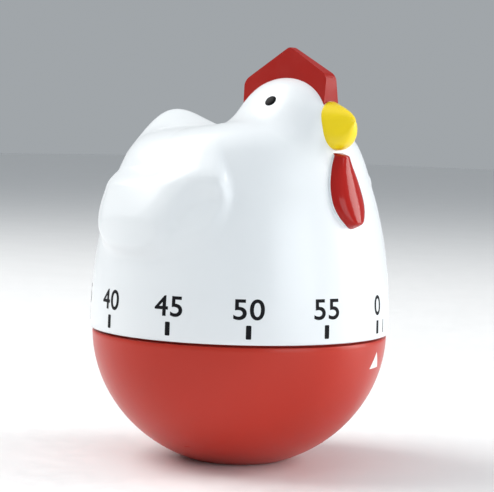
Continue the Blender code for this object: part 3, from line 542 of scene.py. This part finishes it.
def wattle():
    """A glossy painted drop on the breast, its edge left white."""
    rows, across = 64, 40
    bm = bmesh.new()
    grid = []
    for i in range(rows):
        v = 0.002 + 0.996 * (0.5 - 0.5 * math.cos(math.pi * i / (rows - 1)))
        z = WATTLE_TOP + (WATTLE_BOTTOM - WATTLE_TOP) * v
        half = max(wattle_half(v), 0.004)
        end = min(v / 0.05, (1 - v) / 0.10, 1.0)
        c = -np.cos(math.pi * np.arange(across) / (across - 1))
        rise = WATTLE_RISE * (1 - np.abs(c) ** 2.6) ** 0.5 * math.sin(end * math.pi / 2)
        d = skin_front(half * c, z) - 0.006 + rise
        grid.append([bm.verts.new(Vector(p) * MM) for p in to_model(d, half * c, z)])
    for i in range(rows - 1):
        for j in range(across - 1):
            f = bm.faces.new((grid[i][j], grid[i][j + 1], grid[i + 1][j + 1], grid[i + 1][j]))
            out = min(i, rows - 2 - i) < 2 or min(j, across - 2 - j) < 3
            f.material_index = 1 if out else 0
    bmesh.ops.recalc_face_normals(bm, faces=bm.faces)
    ob = mesh_object("wattle_drop", bm, [WATTLE, WHITE], "hen", 80)
    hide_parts("wattle")


wattle()


# ------------------------------------------------------------------ eyes
EYE_D, EYE_Z = 0.42, 1.52               # place on the head
EYE_R, EYE_DOME, EYE_DEPTH = 1.22, 0.34, 0.6


def eyes():
    """Two low domes of black paint, square to the skin."""
    for side, name in ((1, "eye_right"), (-1, "eye_left")):
        d, z = EYE_D, EYE_Z
        l = float(root(lambda v: hen_field(d, v, z), 0.0, 0.6))
        e = 1e-3
        g = Vector((-side * float(hen_field(d, l + e, z) - hen_field(d, l - e, z)),
                    -float(hen_field(d + e, l, z) - hen_field(d - e, l, z)),
                    float(hen_field(d, l, z + e) - hen_field(d, l, z - e)))).normalized()
        p = Vector(to_model(np.float64(d), np.float64(side * l), z)) * MM
        profile = [(EYE_R * math.cos(t), EYE_DOME * math.sin(t) - 0.08)
                   for t in [math.pi / 2 * k / 9 for k in range(9)]]
        bm = from_rings(lathe_rings([(EYE_R, -EYE_DEPTH)] + profile, 40),
                        (0, 0, -EYE_DEPTH), (0, 0, EYE_DOME - 0.08))
        ob = mesh_object(name + "_dot", bm, [EYE], None, 60)
        turn = g.to_track_quat("Z", "Y").to_matrix().to_4x4()
        ob.data.transform(Matrix.Translation(p) @ turn)
        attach(ob, "hen")
        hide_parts(name)


eyes()


# ------------------------------------------------------------------ bowl
LIP_IN, LIP_OUT = 26.9, 28.0            # radii of the lip that the hen turns on
LIP_TOP, LIP_LOW = 27.2, 24.0
BOSS_RADIUS = 16.0                      # circle of the movement's three bosses
BOSS_ANGLES = (75.0, 190.0, 290.0)


def oval(z, inset=0.0):
    """Radius of the bowl at height z, or of its inside."""
    return (BOWL_A - inset) * math.sqrt(
        max(1 - ((SEAM - z) / (BOWL_H - inset)) ** 2, 0.0))


def bowl():
    """The bowl with its lip and flat foot, hollow inside."""
    lip, foot = oval(BOWL_RIM), oval(0.0)
    outer = [(LIP_IN, LIP_TOP - 0.05), (LIP_IN + 0.1, LIP_TOP), (LIP_OUT - 0.1, LIP_TOP),
             (LIP_OUT, LIP_TOP - 0.1), (LIP_OUT, BOWL_RIM + 0.1), (LIP_OUT + 0.1, BOWL_RIM),
             (lip - 0.35, BOWL_RIM), (lip - 0.10, BOWL_RIM - 0.08),
             (oval(BOWL_RIM - 0.3), BOWL_RIM - 0.3)]
    for i in range(1, 57):
        z = (BOWL_RIM - 0.3) * (1 - i / 57) ** 1.5
        outer.append((oval(z), z))
    outer += [(foot + 0.05, 0.12), (foot - 0.10, 0.02), (foot - 0.30, 0.0), (foot - 3.0, 0.0)]
    inner = [(LIP_IN, LIP_TOP - 0.05), (LIP_IN, LIP_LOW)]
    for i in range(1, 25):
        z = BOWL_FLOOR + (LIP_LOW - BOWL_FLOOR) * (1 - i / 24) ** 1.5
        inner.append((oval(z, BOWL_WALL), z))
    bm = from_rings(lathe_rings(outer, 192), None, (0, 0, 0))
    inside = from_rings(lathe_rings(inner, 192), None, (0, 0, BOWL_FLOOR))
    join_in(bm, inside, "bowl_inside")
    bmesh.ops.remove_doubles(bm, verts=bm.verts, dist=WELD)
    bmesh.ops.recalc_face_normals(bm, faces=bm.faces)
    ob = mesh_object("bowl_skin", bm, [RED], "base", 35)
    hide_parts("base_bowl")


def bosses():
    """The bell's post in the middle and the three bosses of the movement."""
    posts = [((0, 0), 2.4, 1.0, 1.8, 7.1)]
    for k in BOSS_ANGLES:
        c = (BOSS_RADIUS * math.cos(math.radians(k)), BOSS_RADIUS * math.sin(math.radians(k)))
        posts.append((c, 2.3, 1.1, 4.4, 9.7))
    bm = bmesh.new()
    for (x, y), r_out, r_in, z0, z1 in posts:
        profile = [(r_in, z0), (r_in, z1 - 0.2), (r_in + 0.2, z1), (r_out - 0.2, z1),
                   (r_out, z1 - 0.2), (r_out + 0.1, z0)]
        rings = [r + np.array([x, y, 0]) for r in lathe_rings(profile, 32)]
        join_in(bm, from_rings(rings), "post")
    ob = mesh_object("bowl_bosses", bm, [RED], "base", 35)


bowl()
bosses()


# ------------------------------------------------------------------ print
CELL = 0.35                             # a print is cut this fine before it is bent


def wrapped(name, flat_mesh, az, z_mid, radius_at, mat, body):
    """Bends a flat outline around the axis and lays it on the skin."""
    bm = bmesh.new()
    bm.from_mesh(flat_mesh)
    xs = [v.co.x for v in bm.verts]
    ys = [v.co.y for v in bm.verts]
    for axis, lo, hi in (((1, 0, 0), min(xs), max(xs)), ((0, 1, 0), min(ys), max(ys))):
        cuts = int((hi - lo) / CELL) + 1
        for i in range(1, cuts):
            p = Vector(axis) * (lo + (hi - lo) * i / cuts)
            geom = bm.verts[:] + bm.edges[:] + bm.faces[:]
            bmesh.ops.bisect_plane(bm, geom=geom, plane_co=p, plane_no=axis)
    bmesh.ops.triangulate(bm, faces=bm.faces)
    for v in bm.verts:
        z = z_mid + v.co.y
        r = radius_at(z)
        a = math.radians(az) + v.co.x / r
        v.co = Vector(((r + PROUD) * math.cos(a), (r + PROUD) * math.sin(a), z)) * MM
    ob = mesh_object(name, bm, [mat], body, 80)


def embolden(mesh, weight):
    """Moves the outline of a flat mesh outward, which thickens its strokes."""
    bm = bmesh.new()
    bm.from_mesh(mesh)
    bmesh.ops.remove_doubles(bm, verts=bm.verts, dist=0.00001)
    away = {}
    for e in bm.edges:
        if len(e.link_faces) != 1:
            continue
        a, b = e.verts
        run = b.co - a.co
        n = Vector((run.y, -run.x, 0)).normalized()
        if n.dot(e.link_faces[0].calc_center_median() - (a.co + b.co) / 2) > 0:
            n = -n
        for v in (a, b):
            away[v] = away.get(v, Vector((0, 0, 0))) + n
    for v, n in away.items():
        v.co += n * (2 * weight / max(n.length_squared, 1.0))
    bm.to_mesh(mesh)
    bm.free()


def text_mesh(body, height, weight, stretch):
    """A flat label of this height in mm, centred, its strokes thickened."""
    curve = bpy.data.curves.new("label", "FONT")
    curve.body = body
    curve.align_x = "CENTER"
    curve.align_y = "CENTER"
    curve.space_character = 1.06
    curve.resolution_u = 10
    ob = bpy.data.objects.new("label", curve)
    bpy.context.scene.collection.objects.link(ob)
    bpy.context.view_layer.update()
    mesh = bpy.data.meshes.new_from_object(
        ob.evaluated_get(bpy.context.evaluated_depsgraph_get()))
    bpy.data.objects.remove(ob, do_unlink=True)
    embolden(mesh, weight)
    ys = [v.co.y for v in mesh.vertices]
    xs = [v.co.x for v in mesh.vertices]
    s = height / (max(ys) - min(ys))
    mx, my = (max(xs) + min(xs)) / 2, (max(ys) + min(ys)) / 2
    for v in mesh.vertices:
        v.co = ((v.co.x - mx) * s * stretch, (v.co.y - my) * s, 0)
    return mesh


def bar_mesh(w, h):
    """A flat bar with rounded corners."""
    mesh = bpy.data.meshes.new("tick")
    r = w * 0.18
    pts = []
    for cx, cy, a0 in ((w / 2 - r, h / 2 - r, 0), (r - w / 2, h / 2 - r, 90),
                       (r - w / 2, r - h / 2, 180), (w / 2 - r, r - h / 2, 270)):
        for k in range(5):
            a = math.radians(a0 + 22.5 * k)
            pts.append((cx + r * math.cos(a), cy + r * math.sin(a), 0))
    mesh.from_pydata(pts, [], [list(range(len(pts)))])
    return mesh


def hen_r(z):
    """Radius of the hen's side at a height in mm."""
    return R * egg_radius((z - SEAM) / R)


NUMBER_HIGH, NUMBER_Z = 3.90, 0.2225    # height in mm, place above the seam in R
STROKE, STRETCH = 0.014, 1.12
TICK_WIDE, TICK_HIGH, TICK_Z = 1.02, 2.6, 0.081
FINE_TICK = 0.34
POINTER_TOP, POINTER_LOW = -0.088, -0.196
POINTER_HALF = 2.2
POINTER_STEP = 3.0                      # degrees from the 0


def dial():
    """The numbers and ticks of every fifth minute, and the first minute's."""
    for minute in range(0, 60, 5):
        az = ZERO_AZ + 6 * minute
        text = text_mesh(str(minute), NUMBER_HIGH, STROKE, STRETCH)
        wrapped("number_%02d" % minute, text, az, SEAM + NUMBER_Z * R, hen_r, INK, "hen")
        wrapped("tick_%02d" % minute, bar_mesh(TICK_WIDE, TICK_HIGH), az, SEAM + TICK_Z * R,
                hen_r, INK, "hen")
    wrapped("tick_first", bar_mesh(FINE_TICK, TICK_HIGH), ZERO_AZ + 6, SEAM + TICK_Z * R,
            hen_r, INK, "hen")


dial()


def pointer():
    """The white triangle on the bowl."""
    mesh = bpy.data.meshes.new("pointer")
    top, low = POINTER_TOP * R, POINTER_LOW * R
    mid = (top + low) / 2
    mesh.from_pydata([(-POINTER_HALF, low - mid, 0), (POINTER_HALF, low - mid, 0),
                      (0, top - mid, 0)], [], [(0, 1, 2)])
    wrapped("pointer_print", mesh, ZERO_AZ + POINTER_STEP, SEAM + mid, oval, MARK, "base")


pointer()


# ------------------------------------------------------------------ inner pieces
BY_SLOT = {"brass": BRASS, "steel": STEEL, "carrier_white": CARRIER}
BY_NODE = {"mainspring": BLUED, "bell": BELL}


def clockwork():
    """Materials for the pieces of the movement, which keep their CAD shapes."""
    for entry in frame["record"]["subparts"]:
        node = frame["nodes"].get(entry["node"])
        if node is None or entry["material_slot"] not in BY_SLOT:
            continue
        node.data.materials.clear()
        node.data.materials.append(
            BY_NODE.get(entry["node"], BY_SLOT[entry["material_slot"]]))


clockwork()


# ------------------------------------------------------------------ camera
CAM_AZ, CAM_EL, CAM_ROLL = -49.0, 3.6118, 1.6047        # degrees, azimuth from the front
CAM_AWAY, CAM_UP, CAM_ASIDE = 12.0862, 0.5537, 0.0361   # from the seam's middle, in R
LENS, FILM = 131.3453, 36.0                             # focal length and film width


def camera():
    az, el, roll = (math.radians(v) for v in (CAM_AZ, CAM_EL, CAM_ROLL))
    back = Vector((math.sin(az) * math.cos(el), -math.cos(az) * math.cos(el), math.sin(el)))
    right = (-back).cross(Vector((0, 0, 1))).normalized()
    up = right.cross(-back)
    place = back * CAM_AWAY * R + Vector((0, 0, SEAM + CAM_UP * R)) + right * CAM_ASIDE * R
    across = right * math.cos(roll) + up * math.sin(roll)
    upright = up * math.cos(roll) - right * math.sin(roll)
    data = bpy.data.cameras.new("camera")
    data.sensor_width = FILM
    data.lens = LENS
    data.clip_start = 0.01
    data.clip_end = 20.0
    ob = bpy.data.objects.new("camera", data)
    bpy.context.scene.collection.objects.link(ob)
    turn = Matrix((across, upright, back)).transposed().to_4x4()
    ob.matrix_world = Matrix.Translation(place * MM) @ turn
    bpy.context.scene.camera = ob


camera()


# ------------------------------------------------------------------ floor and light
def floor():
    """A pale sheet just under the foot."""
    bm = bmesh.new()
    bmesh.ops.create_grid(bm, x_segments=8, y_segments=8, size=3.0)
    ob = mesh_object("floor", bm, [FLOOR])
    ob.location.z = -0.00005


floor()


def softbox(name, azimuth, elevation, dist, size, power, color=(1, 1, 1)):
    """A soft window: angles from the hen's front, lengths in metres, watts."""
    light = bpy.data.lights.new(name, "AREA")
    light.shape = "RECTANGLE"
    light.size, light.size_y = size
    light.energy = power
    light.color = color
    ob = bpy.data.objects.new(name, light)
    a, e = math.radians(azimuth), math.radians(elevation)
    d = Vector((math.sin(a) * math.cos(e), -math.cos(a) * math.cos(e), math.sin(e)))
    ob.location = d * dist + Vector((0, 0, 0.04))
    ob.rotation_mode = "QUATERNION"
    ob.rotation_quaternion = d.to_track_quat("Z", "Y")
    bpy.context.scene.collection.objects.link(ob)


softbox("window_left", -155.0, 46.0, 0.8, (0.6, 0.6), 6.3, (1.0, 0.99, 0.97))
softbox("window_right", 50.0, 18.0, 0.8, (0.30, 0.7), 4.5, (1.0, 0.99, 0.97))
softbox("fill", -6.0, 12.0, 1.4, (0.8, 0.8), 6.3, (0.90, 0.96, 1.0))
softbox("top", -60.0, 85.0, 1.0, (0.9, 0.9), 1.9)
bpy.context.scene.view_settings.view_transform = "Standard"

world = bpy.data.worlds.new("studio")
world.use_nodes = True
world.node_tree.nodes["Background"].inputs["Color"].default_value = (0.89, 0.95, 1.0, 1)
world.node_tree.nodes["Background"].inputs["Strength"].default_value = 0.40
bpy.context.scene.world = world
